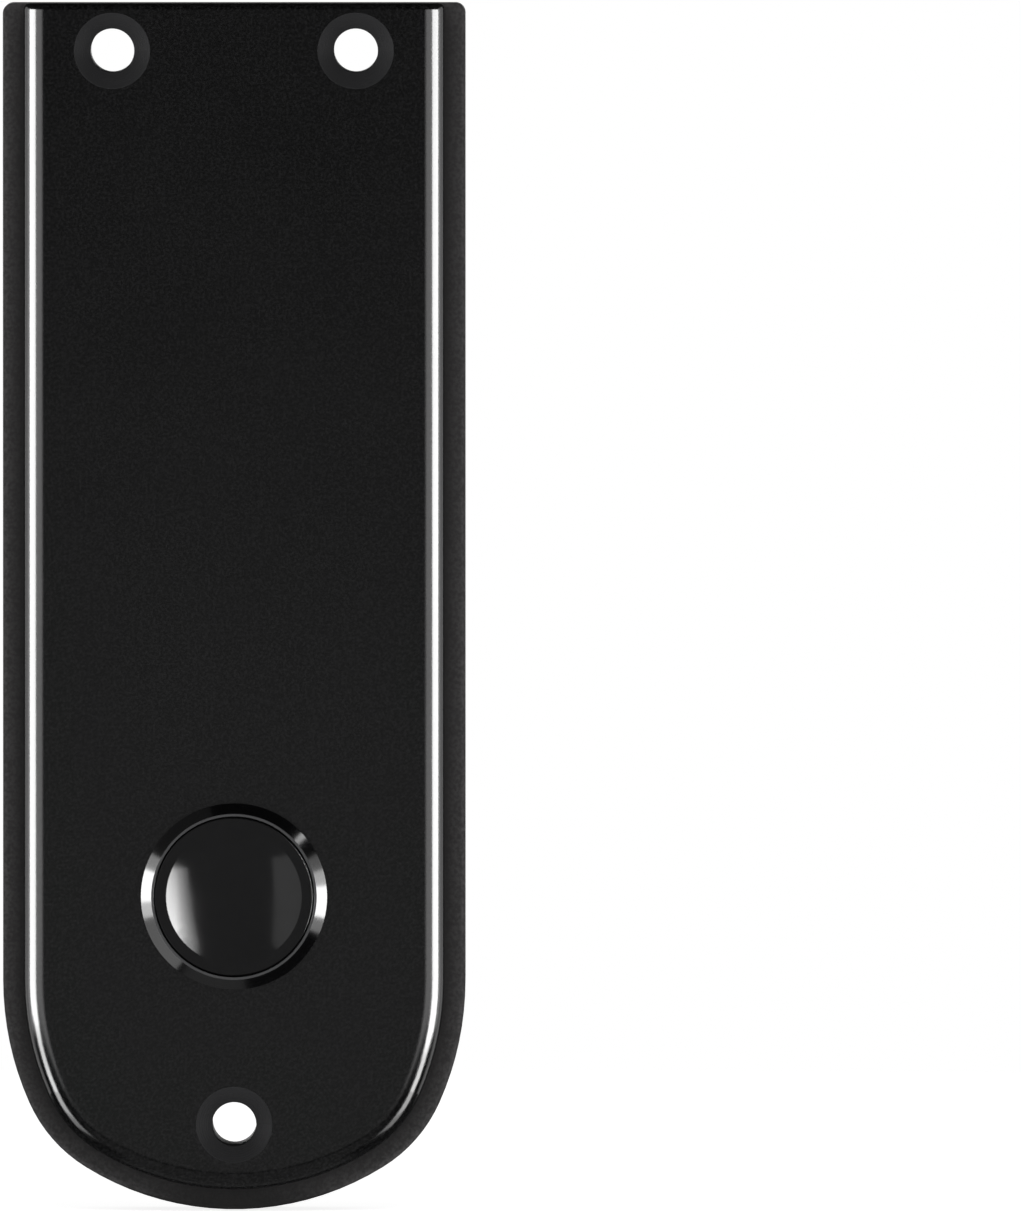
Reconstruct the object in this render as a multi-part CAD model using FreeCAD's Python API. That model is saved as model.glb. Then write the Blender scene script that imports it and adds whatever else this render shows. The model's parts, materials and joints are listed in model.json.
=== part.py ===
"""Battery doorbell push for a door frame: a slim upright plate with a flat top, a rounded foot and a
dished push button low on its face.

The doorbell is drawn lying on its back. X runs across it, Y up the wall and Z out of the wall, so a
height below is a distance from the wall. stand_up() turns each finished piece into the part's frame:
+Z up, the face towards -Y, the wall at Y = 0 and the origin in the middle of the back.
All sizes are millimetres.
"""
import FreeCAD
import Part
import math
import os

from FreeCAD import Vector

# Outline of the case; the two angles are measured from straight down
HALF_WIDTH = 23.0
TOP = 60.0
TIP = -60.0
TIP_RADIUS = 28.1
TIP_SPREAD = 31.8
SHOULDER_RADIUS = 14.5
SHOULDER_END = 66.1
CORNER_RADIUS = 1.0
CASE_EDGE = 0.5
CASE_BACK_EDGE = 0.25

# Heights from the wall
CASE_FRONT = 9.5
FACE = 14.0
COVER_WALL = 1.6
PANEL_BACK = 1.0
PANEL_THICKNESS = 1.2
PANEL_SEAL = 0.4
GROOVE_DEPTH = 3.0
GASKET_BACK = 0.3
POCKET_DEPTH = 7.9
BOARD_BACK = 5.3
BOARD_THICKNESS = 1.0
SWITCH_HEIGHT = 2.0
PLUNGER_HEIGHT = 0.6

# Walls seen from behind
RIM = 1.0
GROOVE_WIDTH = 3.0
RIB = 1.0
LEDGE = 0.9
END_WALL = 1.8
CROSS_RIB_TOP = 52.8
PANEL_TOP = 48.6
GROOVE_CORNER = 3.1
EAR_RADIUS = 1.7
SLOT_SPREAD = 8.5
SLOT_OUTER = TIP_RADIUS - 1.4
SLOT_INNER = TIP_RADIUS - 3.7

# Front cover, set in from the case except across the flat end, and the lip and seal inside it
COVER_INSET = 2.1
COVER_EDGE = 2.0
COVER_END_EDGE = 0.6
LIP_INNER = 0.3
LIP_OUTER = 1.3
COVER_SEAL = 1.0

# Wall screws: a pair at the top and one at the foot
HOLE_RADIUS = 2.2
SINK_RADIUS = 3.75
HOLE_HALF_PITCH = 12.1
HOLE_TOP = 55.3
HOLE_FOOT = -51.4
BOSS_RADIUS = 4.5
COVER_BOSS_RADIUS = 4.2
TAB_RADIUS = 3.4
TAB_BAY_RADIUS = 6.7

# Push button
BUTTON_UP = -28.7
CAP_RADIUS = 7.9
CAP_FRONT = FACE + 0.9
CAP_BACK = FACE - 0.8
DISH_RADIUS = 6.75
DISH_DEPTH = 0.9
STEM_RADIUS = 3.0
BEZEL_BORE = 8.0
BEZEL_RADIUS = 9.25
BEZEL_FRONT = FACE + 1.1
NECK_RADIUS = 8.7
BEZEL_STEP = 0.25
BEZEL_RIM = 0.22
BEZEL_FLOOR = (9.7, 10.5)
CLIP_BACK = 9.05
CLIP_THICKNESS = 0.6
NUT_RADIUS = 11.2
NUT_THICKNESS = 2.0
SEAL_CORD = 0.34
PRESS_TRAVEL = 0.5
RUNNING_GAP = 0.05

# Battery bay
LID_UP = -26.2
LID_RADIUS = 13.9
LID_BACK = 0.4
LID_RIM = 0.9
LID_DISC_RADIUS = 9.4
CELL_RADIUS = 10.0
CELL_THICKNESS = 3.2
CELL_BACK = 1.9
SKIRT_RADIUS = 11.0
SKIRT_WALL = 0.7
SKIRT_FRONT = 3.4
HOLDER_BACK = 3.7
BAY_BORE = 11.4
LUG_RADIUS = 11.9
LUG_ARC = 14.0
LUG_TURN = 30.0

# Screws that hold the case together
POST_RIGHT = 13.75
POST_UPS = (-37.5, -13.7)
POST_RADIUS = 2.5
PLUG_RADIUS = 2.65
PANEL_BOSS_RADIUS = 3.2
HEAD_RADIUS = 2.1
HEAD_BACK = 2.1
HEAD_FRONT = 3.4
SHANK_RADIUS = 1.1
SHANK_FRONT = 10.6
TAPPED_DEPTH = 4.6
THREAD_GAP = 0.02

# Circuit board
BOARD_HALF_WIDTH = 16.0
BOARD_TOP = 24.0
BOARD_FOOT = -42.4
BOARD_FRONT = BOARD_BACK + BOARD_THICKNESS

CLOSE = 0.01
PANEL_FRONT = PANEL_BACK + PANEL_THICKNESS
PLUNGER_FRONT = BOARD_FRONT + SWITCH_HEIGHT + PLUNGER_HEIGHT
COVER_INSIDE = FACE - COVER_WALL
POSTS = [(side * POST_RIGHT, up) for side in (-1, 1) for up in POST_UPS]
WALL_HOLES = [(-HOLE_HALF_PITCH, HOLE_TOP), (HOLE_HALF_PITCH, HOLE_TOP), (0, HOLE_FOOT)]


# ---------------------------------------------------------------- drawing

def point(right, up, height=0):
    return Vector(right, up, height)


def polar(centre, radius, degrees):
    turn = math.radians(degrees)
    return point(centre[0] + radius * math.cos(turn), centre[1] + radius * math.sin(turn))


def arc(centre, radius, start, end):
    ends = (polar(centre, radius, a) for a in (start, (start + end) / 2, end))
    return Part.Arc(*ends).toShape()


def line(start, end):
    return Part.LineSegment(start, end).toShape()


def disc(centre, radius):
    return Part.Face(Part.Wire(Part.makeCircle(radius, point(*centre))))


def plate(width, length, centre=(0, 0), corner=0.0):
    face = Part.makePlane(width, length, point(centre[0] - width / 2, centre[1] - length / 2))
    return rounded(face, corner) if corner else face


def grown(face, distance):
    """The face with its edge moved out by a distance, or in if it is negative."""
    return one_face(face.makeOffset2D(distance))


def rounded(face, radius):
    """The face with its outward corners rounded."""
    return grown(grown(face, -radius), radius)


def one_face(shape):
    """The largest face of a cut or offset."""
    faces = shape.removeSplitter().Faces
    return max(faces, key=lambda f: f.Area)


def raise_up(face, low, high):
    """The face made solid between two heights."""
    solid = face.extrude(Vector(0, 0, high - low))
    solid.translate(Vector(0, 0, low))
    return solid


def ring(centre, inner, outer, low, high):
    return raise_up(disc(centre, outer).cut(disc(centre, inner)), low, high)


def rod(centre, radius, low, high):
    return Part.makeCylinder(radius, high - low, point(*centre, low))


def block(centre, width, length, low, high, corner=0.0):
    return raise_up(plate(width, length, centre, corner), low, high)


def turned(centre, profile):
    """A solid of revolution from (radius, height) pairs, about a line out of the wall."""
    corners = [Vector(r, 0, h) for r, h in profile]
    face = Part.Face(Part.makePolygon(corners + corners[:1]))
    solid = face.revolve(Vector(), Vector(0, 0, 1), 360)
    solid.translate(point(*centre))
    return solid


def torus(centre, ring_radius, cord_radius, height):
    return Part.makeTorus(ring_radius, cord_radius, point(*centre, height))


def coil(radius, pitch, turns, wire_radius):
    """A helical spring standing on the origin, along Z: eight-sided wire, twelve steps to a turn."""
    sides, steps = 8, 12
    corners = [polar((radius, 0), wire_radius, 360 * n / sides) for n in range(sides)]
    section = Part.makePolygon(corners + corners[:1])
    lead = math.degrees(math.atan2(pitch, 2 * math.pi * radius))
    section.rotate(point(radius, 0), Vector(1, 0, 0), 90 + lead)
    sections = []
    for step in range(turns * steps + 1):
        copy = section.copy()
        copy.rotate(Vector(), Vector(0, 0, 1), 360 * step / steps)
        copy.translate(point(0, 0, pitch * step / steps))
        sections.append(copy)
    return Part.makeLoft(sections, True, True)


def sector(centre, inner, outer, middle, width):
    """A flat piece of a ring, width degrees wide about the direction middle."""
    low, high = middle - width / 2, middle + width / 2
    edges = [
        arc(centre, outer, low, high),
        line(polar(centre, outer, high), polar(centre, inner, high)),
        arc(centre, inner, high, low),
        line(polar(centre, inner, low), polar(centre, outer, low)),
    ]
    return Part.Face(Part.Wire(edges))


def joined(solids):
    first, *rest = solids
    return first.multiFuse(rest).removeSplitter() if rest else first


def near_edges(solid, height):
    """The edges of a solid that lie flat at a height, less any across the flat end of the case."""
    found = []
    for edge in solid.Edges:
        box = edge.BoundBox
        flat = abs(box.ZMin - height) < CLOSE and abs(box.ZMax - height) < CLOSE
        if flat and abs(box.YMin - TOP) > CLOSE:
            found.append(edge)
    return found


def end_edges(solid, above):
    """The edges of a solid in the plane of the flat end, above a height."""
    return [e for e in solid.Edges if abs(e.BoundBox.YMin - TOP) < CLOSE and e.BoundBox.ZMax > above]


def arch(half_width, top, tip, tip_radius, shoulder_radius, corner):
    """A face with a flat top end, straight sides and a five-centred arch at its foot."""
    tip_centre = (0, tip + tip_radius)
    tip_end = TIP_SPREAD - 90
    lean = SHOULDER_END - 90
    shoulder = polar(tip_centre, tip_radius - shoulder_radius, tip_end)
    cosine = math.cos(math.radians(lean))
    side_radius = (half_width - shoulder.x - shoulder_radius * cosine) / (1 - cosine)
    side = polar(shoulder, shoulder_radius - side_radius, lean)
    edge, bend = half_width - corner, top - corner
    edges = [
        line(point(-edge, top), point(edge, top)),
        arc((edge, bend), corner, 90, 0),
        line(point(half_width, bend), point(half_width, side.y)),
        arc(side, side_radius, 0, lean),
        arc(shoulder, shoulder_radius, lean, tip_end),
        arc(tip_centre, tip_radius, tip_end, -180 - tip_end),
        arc((-shoulder.x, shoulder.y), shoulder_radius, -180 - tip_end, -180 - lean),
        arc((-side.x, side.y), side_radius, -180 - lean, -180),
        line(point(-half_width, side.y), point(-half_width, bend)),
        arc((-edge, bend), corner, 180, 90),
    ]
    return Part.Face(Part.Wire(edges))


def case_face(inset=0.0, top=TOP, corner=CORNER_RADIUS):
    return arch(
        HALF_WIDTH - inset, top, TIP + inset, TIP_RADIUS - inset, SHOULDER_RADIUS - inset, corner
    )


def cover_face(inset, top):
    return case_face(COVER_INSET + inset, top)


# ---------------------------------------------------------------- faces seen from behind

def tab_face():
    """The tongue round the foot screw, flaring into the rim."""
    waist, flare, root = (3.84, -53.8), (5.1, -55.9), (8.5, -57.6)
    under = (9.5, -62.0)
    hole = (0, HOLE_FOOT)
    corners = [point(side * x, y) for side in (1, -1) for x, y in (waist, flare, root, under)]
    right, left = corners[:4], corners[4:]
    edges = [
        arc(hole, TAB_RADIUS, 0, 180),
        line(point(-TAB_RADIUS, HOLE_FOOT), left[0]),
        Part.Arc(*left[:3]).toShape(),
        line(left[2], left[3]),
        line(left[3], right[3]),
        line(right[3], right[2]),
        Part.Arc(*right[2::-1]).toShape(),
        line(right[0], point(TAB_RADIUS, HOLE_FOOT)),
    ]
    return Part.Face(Part.Wire(edges))


def panel_face():
    """The rear cover's outline: the case's outline, inset, with a bay round the tab."""
    hole = (0, HOLE_FOOT)
    bay_length = HOLE_FOOT - TIP + 2
    bay = plate(2 * TAB_BAY_RADIUS, bay_length, (0, HOLE_FOOT - bay_length / 2))
    bay = one_face(bay.fuse(disc(hole, TAB_BAY_RADIUS)))
    inset = RIM + GROOVE_WIDTH + RIB
    whole = case_face(inset, PANEL_TOP)
    return rounded(one_face(whole.cut(bay)), EAR_RADIUS)


PANEL = panel_face()
RIB_FACE = grown(PANEL, RIB)
WINDOW = grown(PANEL, -LEDGE)
GROOVE_OUTER = case_face(RIM, CROSS_RIB_TOP - RIB, GROOVE_CORNER)
GROOVE = one_face(GROOVE_OUTER.cut(tab_face()).cut(RIB_FACE))


def end_pocket():
    """The hollow between the cross rib and the flat end, round the two screw bosses."""
    hollow = case_face(RIM, TOP - END_WALL, 0.3)
    pocket = hollow.cut(case_face(0, CROSS_RIB_TOP, GROOVE_CORNER + RIB))
    for hole in WALL_HOLES[:2]:
        pocket = pocket.cut(disc(hole, BOSS_RADIUS))
    return pocket


def tab_slot():
    """The curved slot between the foot screw and the rim."""
    centre = (0, TIP + TIP_RADIUS)
    slot = sector(centre, SLOT_INNER, SLOT_OUTER, -90, 2 * SLOT_SPREAD)
    for side in (-1, 1):
        end = polar(centre, (SLOT_OUTER + SLOT_INNER) / 2, -90 + side * SLOT_SPREAD)
        slot = slot.fuse(disc((end.x, end.y), (SLOT_OUTER - SLOT_INNER) / 2))
    return one_face(slot)


# ---------------------------------------------------------------- case

def base_housing():
    body = raise_up(case_face(), 0, CASE_FRONT)
    body = body.makeFillet(CASE_EDGE, near_edges(body, CASE_FRONT))
    body = body.makeFillet(CASE_BACK_EDGE, near_edges(body, 0))
    lip = grown(WINDOW, LIP_OUTER).cut(grown(WINDOW, LIP_INNER))
    body = body.fuse(raise_up(lip, CASE_FRONT, COVER_INSIDE - COVER_SEAL))
    hollows = [
        raise_up(GROOVE, 0, GROOVE_DEPTH),
        raise_up(end_pocket(), 0, POCKET_DEPTH),
        raise_up(tab_slot(), 0, POCKET_DEPTH),
        raise_up(PANEL, 0, PANEL_FRONT + PANEL_SEAL),
        raise_up(WINDOW, 0, CASE_FRONT),
    ]
    hollows += [rod(hole, HOLE_RADIUS, 0, CASE_FRONT) for hole in WALL_HOLES]
    for hollow in hollows:
        body = body.cut(hollow)
    return body.removeSplitter()


def screw_post(at):
    """A tapped post on the cover's inside, down to the circuit board."""
    post = rod(at, POST_RADIUS, BOARD_FRONT, COVER_INSIDE + 0.4)
    return post.cut(rod(at, SHANK_RADIUS + THREAD_GAP, BOARD_FRONT, BOARD_FRONT + TAPPED_DEPTH))


def countersunk(hole):
    """The hole for a countersunk wall screw, to cut from the cover."""
    depth = SINK_RADIUS - HOLE_RADIUS
    sink = [(0, FACE - depth), (HOLE_RADIUS, FACE - depth), (SINK_RADIUS, FACE), (0, FACE)]
    return turned(hole, sink).fuse(rod(hole, HOLE_RADIUS, CASE_FRONT, FACE))


def front_cover():
    overrun = 5.0
    shell = raise_up(cover_face(0, TOP + overrun), CASE_FRONT, FACE)
    shell = shell.makeFillet(COVER_EDGE, near_edges(shell, FACE))
    shell = shell.cut(block((0, TOP + overrun), 2 * HALF_WIDTH, 2 * overrun, 0, FACE))
    shell = shell.makeFillet(COVER_END_EDGE, end_edges(shell, CASE_FRONT + CLOSE))
    inside = cover_face(COVER_WALL, TOP - COVER_WALL)
    for hole in WALL_HOLES:
        inside = inside.cut(disc(hole, COVER_BOSS_RADIUS))
    shell = shell.cut(raise_up(inside, CASE_FRONT, COVER_INSIDE))
    shell = shell.multiFuse([screw_post(at) for at in POSTS])
    button = (0, BUTTON_UP)
    shell = shell.cut(rod(button, NECK_RADIUS + RUNNING_GAP, COVER_INSIDE - 1, FACE))
    shell = shell.cut(rod(button, BEZEL_RADIUS - 0.15, FACE - 0.3, FACE))
    for hole in WALL_HOLES:
        shell = shell.cut(countersunk(hole))
    return shell.removeSplitter()


def cover_gasket():
    seal = grown(WINDOW, LIP_OUTER - 0.1).cut(grown(WINDOW, LIP_INNER + 0.1))
    return raise_up(seal, COVER_INSIDE - COVER_SEAL, COVER_INSIDE)


def wall_gasket():
    cord = grown(GROOVE_OUTER, -0.1).cut(grown(tab_face(), 0.1)).cut(grown(RIB_FACE, 0.1))
    return raise_up(one_face(cord), GASKET_BACK, GROOVE_DEPTH)


def rear_cover():
    panel = raise_up(grown(PANEL, -0.05), PANEL_BACK, PANEL_FRONT)
    panel = panel.makeFillet(0.2, near_edges(panel, PANEL_BACK))
    bosses = [rod(at, PANEL_BOSS_RADIUS, PANEL_FRONT, BOARD_BACK) for at in POSTS]
    panel = panel.multiFuse(bosses)
    for at in POSTS:
        panel = panel.cut(rod(at, PLUG_RADIUS, PANEL_BACK, HEAD_FRONT))
        panel = panel.cut(rod(at, SHANK_RADIUS + 0.15, HEAD_FRONT, BOARD_BACK))
    bay = disc((0, LID_UP), BAY_BORE)
    panel = panel.cut(raise_up(bay, PANEL_BACK, PANEL_FRONT))
    for turn in lug_directions():
        notch = sector((0, LID_UP), BAY_BORE - 0.5, LUG_RADIUS + 0.15, turn - LUG_TURN, LUG_ARC + 3)
        panel = panel.cut(raise_up(notch, PANEL_BACK, PANEL_FRONT))
    return panel.removeSplitter()


def rear_cover_gasket():
    return raise_up(grown(PANEL, -0.1).cut(grown(WINDOW, 0.1)), PANEL_FRONT, PANEL_FRONT + PANEL_SEAL)


def rear_cover_screw(at):
    bevel = 0.4
    head = turned(at, [
        (0, HEAD_BACK),
        (HEAD_RADIUS - bevel, HEAD_BACK),
        (HEAD_RADIUS, HEAD_BACK + bevel),
        (HEAD_RADIUS, HEAD_FRONT),
        (0, HEAD_FRONT),
    ])
    shank = rod(at, SHANK_RADIUS, HEAD_FRONT, SHANK_FRONT)
    slot_length, slot_width, slot_end = 2.2, 0.45, HEAD_BACK + 0.8
    slot = joined([
        block(at, slot_width, slot_length, HEAD_BACK, slot_end),
        block(at, slot_length, slot_width, HEAD_BACK, slot_end),
    ])
    return head.fuse(shank).cut(slot).removeSplitter()


def screw_plug(at):
    plug = rod(at, PLUG_RADIUS - 0.05, PANEL_BACK - 0.1, HEAD_BACK)
    return plug.makeFillet(0.15, near_edges(plug, PANEL_BACK - 0.1))


# ---------------------------------------------------------------- push button

BUTTON = (0, BUTTON_UP)


def button_bezel():
    floor_back, floor_front = BEZEL_FLOOR
    profile = [
        (STEM_RADIUS + RUNNING_GAP, floor_back),
        (NECK_RADIUS, floor_back),
        (NECK_RADIUS, FACE),
        (BEZEL_RADIUS, FACE),
        (BEZEL_RADIUS, FACE + BEZEL_STEP),
        (BEZEL_BORE + BEZEL_RIM, BEZEL_FRONT),
        (BEZEL_BORE, BEZEL_FRONT),
        (BEZEL_BORE, floor_front),
        (STEM_RADIUS + RUNNING_GAP, floor_front),
    ]
    return turned(BUTTON, profile)


def bezel_gasket():
    return ring(BUTTON, NECK_RADIUS + 0.05, BEZEL_RADIUS - 0.2, FACE - 0.3, FACE)


def bezel_nut():
    back = COVER_INSIDE - NUT_THICKNESS
    nut = ring(BUTTON, NECK_RADIUS + THREAD_GAP, NUT_RADIUS, back, COVER_INSIDE)
    for quarter in range(4):
        slot = sector(BUTTON, NUT_RADIUS - 1, NUT_RADIUS + 1, 45 + 90 * quarter, 16)
        nut = nut.cut(raise_up(slot, back, COVER_INSIDE))
    return nut


def button_cap():
    dish_sphere = (DISH_RADIUS**2 + DISH_DEPTH**2) / (2 * DISH_DEPTH)
    body = rod(BUTTON, CAP_RADIUS, CAP_BACK, CAP_FRONT)
    body = body.makeFillet(0.15, near_edges(body, CAP_FRONT))
    ball_centre = point(*BUTTON, CAP_FRONT - DISH_DEPTH + dish_sphere)
    body = body.cut(Part.makeSphere(dish_sphere, ball_centre, Vector(1, 0, 0)))
    seal_groove = ring(BUTTON, CAP_RADIUS - 0.6, CAP_RADIUS + 1, CAP_BACK + 0.3, CAP_BACK + 1.0)
    stem = rod(BUTTON, STEM_RADIUS, PLUNGER_FRONT, CAP_BACK)
    clip_front = CLIP_BACK + CLIP_THICKNESS
    clip_groove = ring(BUTTON, STEM_RADIUS - 0.5, STEM_RADIUS + 1, CLIP_BACK, clip_front)
    return body.cut(seal_groove).fuse(stem).cut(clip_groove).removeSplitter()


def button_seal_ring():
    return torus(BUTTON, BEZEL_BORE - SEAL_CORD - THREAD_GAP, SEAL_CORD, CAP_BACK + 0.65)


def button_clip():
    back, front = CLIP_BACK + THREAD_GAP, CLIP_BACK + CLIP_THICKNESS - THREAD_GAP
    clip = ring(BUTTON, STEM_RADIUS - 0.48, 1.5 * STEM_RADIUS, back, front)
    return clip.cut(raise_up(sector(BUTTON, 0.5, 2 * STEM_RADIUS, 0, 80), back, front))


def return_spring():
    wire, turns = 0.3, 3
    length = CAP_BACK - BEZEL_FLOOR[1] - 2 * wire - 0.04
    spring = coil(5.4, length / turns, turns, wire)
    spring.translate(point(*BUTTON, BEZEL_FLOOR[1] + wire + 0.02))
    return spring


# ---------------------------------------------------------------- switch

SWITCH_SIDE = 6.2
SWITCH_FRONT = BOARD_FRONT + SWITCH_HEIGHT
SWITCH_JOINT = SWITCH_FRONT - 0.3
SWITCH_BORE = 1.7


def switch_base():
    body = block(BUTTON, SWITCH_SIDE, SWITCH_SIDE, BOARD_FRONT, SWITCH_JOINT, 0.5)
    return body.cut(rod(BUTTON, 2.5, BOARD_FRONT + 0.5, SWITCH_JOINT))


def switch_frame():
    top = block(BUTTON, SWITCH_SIDE, SWITCH_SIDE, SWITCH_JOINT, SWITCH_FRONT, 0.5)
    return top.cut(rod(BUTTON, SWITCH_BORE, SWITCH_JOINT, SWITCH_FRONT))


def switch_dome():
    """The snap dome, a thin bowed disc in the switch's well."""
    bow = [(0, 1.15), (1.2, 1.1), (2.3, 0.62), (2.3, 0.5), (1.15, 0.98), (0, 1.03)]
    return turned(BUTTON, [(radius, BOARD_FRONT + rise) for radius, rise in bow])


def switch_plunger():
    foot = BOARD_FRONT + 1.17
    flange = rod(BUTTON, 2.2, foot, foot + 0.5)
    return flange.fuse(rod(BUTTON, SWITCH_BORE - 0.06, foot, PLUNGER_FRONT)).removeSplitter()


def switch_contact(side, end):
    """One of the switch's four legs, flat on the board."""
    at = (side * 3.75, BUTTON_UP + end * 2.25)
    return block(at, 1.3, 0.7, BOARD_FRONT, BOARD_FRONT + 0.2)


# ---------------------------------------------------------------- battery bay

BAY = (0, LID_UP)


def lug_directions():
    return [90 + 120 * n for n in range(3)]


def battery_lid():
    flange = rod(BAY, LID_RADIUS, LID_BACK, PANEL_BACK)
    flange = flange.makeFillet(0.5, near_edges(flange, LID_BACK))
    sunk = LID_BACK + 0.22
    dish = turned(BAY, [
        (0, LID_BACK - 1),
        (LID_RADIUS - LID_RIM, LID_BACK - 1),
        (LID_RADIUS - LID_RIM, LID_BACK),
        (LID_DISC_RADIUS, sunk),
        (0, sunk),
    ])
    step = ring(BAY, LID_DISC_RADIUS - 0.12, LID_DISC_RADIUS, LID_BACK, LID_BACK + 0.4)
    hub = rod(BAY, SKIRT_RADIUS, PANEL_BACK, CELL_BACK - 0.1)
    skirt = ring(BAY, SKIRT_RADIUS - SKIRT_WALL, SKIRT_RADIUS, CELL_BACK - 0.1, SKIRT_FRONT)
    groove = ring(BAY, SKIRT_RADIUS - 0.3, SKIRT_RADIUS + 1, 1.25, 1.95)
    lid = joined([flange.cut(dish).cut(step), hub, skirt]).cut(groove)
    lugs = []
    for turn in lug_directions():
        lug = sector(BAY, SKIRT_RADIUS - 0.3, LUG_RADIUS, turn, LUG_ARC)
        lugs.append(raise_up(lug, PANEL_FRONT + 0.06, 3.0))
    lid = joined([lid] + lugs)
    return lid.cut(polarity_sign()).removeSplitter()


def polarity_sign():
    """A shallow plus sign, for the cell's polarity, in the middle of the lid."""
    length, width, floor, turn = 6.4, 1.3, LID_BACK + 0.42, -7
    sign = joined([block(BAY, length, width, 0, floor), block(BAY, width, length, 0, floor)])
    sign.rotate(point(*BAY), Vector(0, 0, 1), turn)
    return sign


def lid_seal_ring():
    return torus(BAY, SKIRT_RADIUS + 0.04, SEAL_CORD, 1.6)


def coin_cell():
    front = CELL_BACK + CELL_THICKNESS
    shoulder = front - 0.25
    can = rod(BAY, CELL_RADIUS, CELL_BACK, shoulder)
    can = can.makeFillet(0.3, near_edges(can, CELL_BACK))
    return can.fuse(rod(BAY, CELL_RADIUS - 1.2, shoulder, front)).removeSplitter()


def battery_holder():
    wall = ring(BAY, CELL_RADIUS + 0.2, CELL_RADIUS + 1.2, HOLDER_BACK, BOARD_BACK)
    gap = raise_up(sector(BAY, CELL_RADIUS - 1, CELL_RADIUS + 2, 0, 26), HOLDER_BACK, BOARD_BACK)
    return wall.cut(gap)


def negative_contact():
    """A three-armed leaf between the cell and the board."""
    back = BOARD_BACK - 0.18
    arms = [raise_up(sector(BAY, 1.0, 8.0, turn, 24), back, BOARD_BACK) for turn in lug_directions()]
    return joined([rod(BAY, 2.4, back, BOARD_BACK)] + arms)


def positive_contact():
    """A spring leaf that presses on the cell's rim, with a foot on the board."""
    leaf, inner = 0.3, CELL_RADIUS + 0.02
    blade = sector(BAY, inner, inner + leaf, 0, 20)
    foot = sector(BAY, inner, inner + 2.2, 0, 12)
    blade_back = HOLDER_BACK - 0.1
    return joined([raise_up(blade, blade_back, BOARD_BACK), raise_up(foot, BOARD_BACK - leaf, BOARD_BACK)])


# ---------------------------------------------------------------- electronics

def circuit_board():
    face = plate(2 * BOARD_HALF_WIDTH, BOARD_TOP - BOARD_FOOT, (0, (BOARD_TOP + BOARD_FOOT) / 2), 3.0)
    board = raise_up(face, BOARD_BACK, BOARD_FRONT)
    for at in POSTS:
        board = board.cut(rod(at, SHANK_RADIUS + 0.15, BOARD_BACK, BOARD_FRONT))
    return board


RADIO = (0, 12.5)
RADIO_FRONT = BOARD_FRONT + 0.8
CHIP = (-6.5, -5.5)
CHIP_SIDE = 7.0
CHIP_FRONT = BOARD_FRONT + 1.5


def radio_board():
    return block(RADIO, 13, 17, BOARD_FRONT, RADIO_FRONT)


def radio_shield():
    sheet, height = 0.2, 1.8
    centre = (RADIO[0], RADIO[1] - 1.5)
    width, length = 11.4, 12.6
    can = block(centre, width, length, RADIO_FRONT, RADIO_FRONT + height, 0.6)
    hollow = block(
        centre, width - 2 * sheet, length - 2 * sheet, RADIO_FRONT, RADIO_FRONT + height - sheet, 0.5
    )
    return can.cut(hollow)


def controller_chip():
    chip = block(CHIP, CHIP_SIDE, CHIP_SIDE, BOARD_FRONT + 0.1, CHIP_FRONT)
    dimple = (CHIP[0] - 2.6, CHIP[1] + 2.6)
    return chip.cut(rod(dimple, 0.4, CHIP_FRONT - 0.1, CHIP_FRONT))


def chip_pins():
    length, width, top, pitch = 1.2, 0.35, BOARD_FRONT + 0.4, 0.8
    pins = []
    for n in range(8):
        along = (n - 3.5) * pitch
        for side in (-1, 1):
            reach = side * (CHIP_SIDE + length) / 2
            beside = (CHIP[0] + reach, CHIP[1] + along)
            above = (CHIP[0] + along, CHIP[1] + reach)
            pins.append(block(beside, length, width, BOARD_FRONT, top))
            pins.append(block(above, width, length, BOARD_FRONT, top))
    return pins


def crystal():
    centre, flange_top = (7.5, -2.0), BOARD_FRONT + 0.4
    flange = block(centre, 11.4, 4.7, BOARD_FRONT, flange_top, 0.8)
    can = block(centre, 10.2, 3.8, flange_top, flange_top + 2.8, 1.8)
    return joined([flange, can])


def capacitors():
    foot_top = BOARD_FRONT + 0.4
    cans = []
    for at in ((8.0, -8.8), (12.2, 20.0), (-12.0, 20.0)):
        foot = block(at, 5.0, 5.0, BOARD_FRONT, foot_top, 0.5)
        cans.append(joined([foot, rod(at, 2.3, foot_top, foot_top + 4.4)]))
    return cans


def resistors():
    places = [(-12.6 + 2.2 * (n % 3), 2.0 + 2.1 * (n // 3)) for n in range(6)]
    places += [(10.2 + 2.2 * (n % 2), 4.2 + 2.1 * (n // 2)) for n in range(6)]
    return [block(at, 1.6, 0.8, BOARD_FRONT, BOARD_FRONT + 0.5) for at in places]


def antenna_coil():
    """A wound aerial lying up the inside of the case above the board, with a leg on the board."""
    wire, radius, turns, pitch = 0.4, 2.0, 9, 2.0
    height = BOARD_FRONT + radius + wire + 0.1
    foot = BOARD_TOP + 1.5
    helix = coil(radius, pitch, turns, wire)
    helix.rotate(Vector(), Vector(1, 0, 0), -90)
    helix.translate(point(0, foot, height))
    leg = Part.makeCylinder(wire, 3.0, point(radius, foot - 3.0, height), Vector(0, 1, 0))
    pin = Part.makeCylinder(wire, radius + wire + 0.1, point(radius, foot - 2.6, BOARD_FRONT))
    return joined([leg, pin]), helix


# ---------------------------------------------------------------- writing the files

def solids_of(made):
    """Every solid in a shape or in a list of shapes."""
    shapes = made if isinstance(made, (list, tuple)) else [made]
    return [solid for shape in shapes for solid in shape.Solids]


def stand_up(shape):
    """From lying on its back to standing on the wall."""
    turned_shape = shape.copy()
    turned_shape.rotate(Vector(), Vector(1, 0, 0), 90)
    return turned_shape


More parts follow.
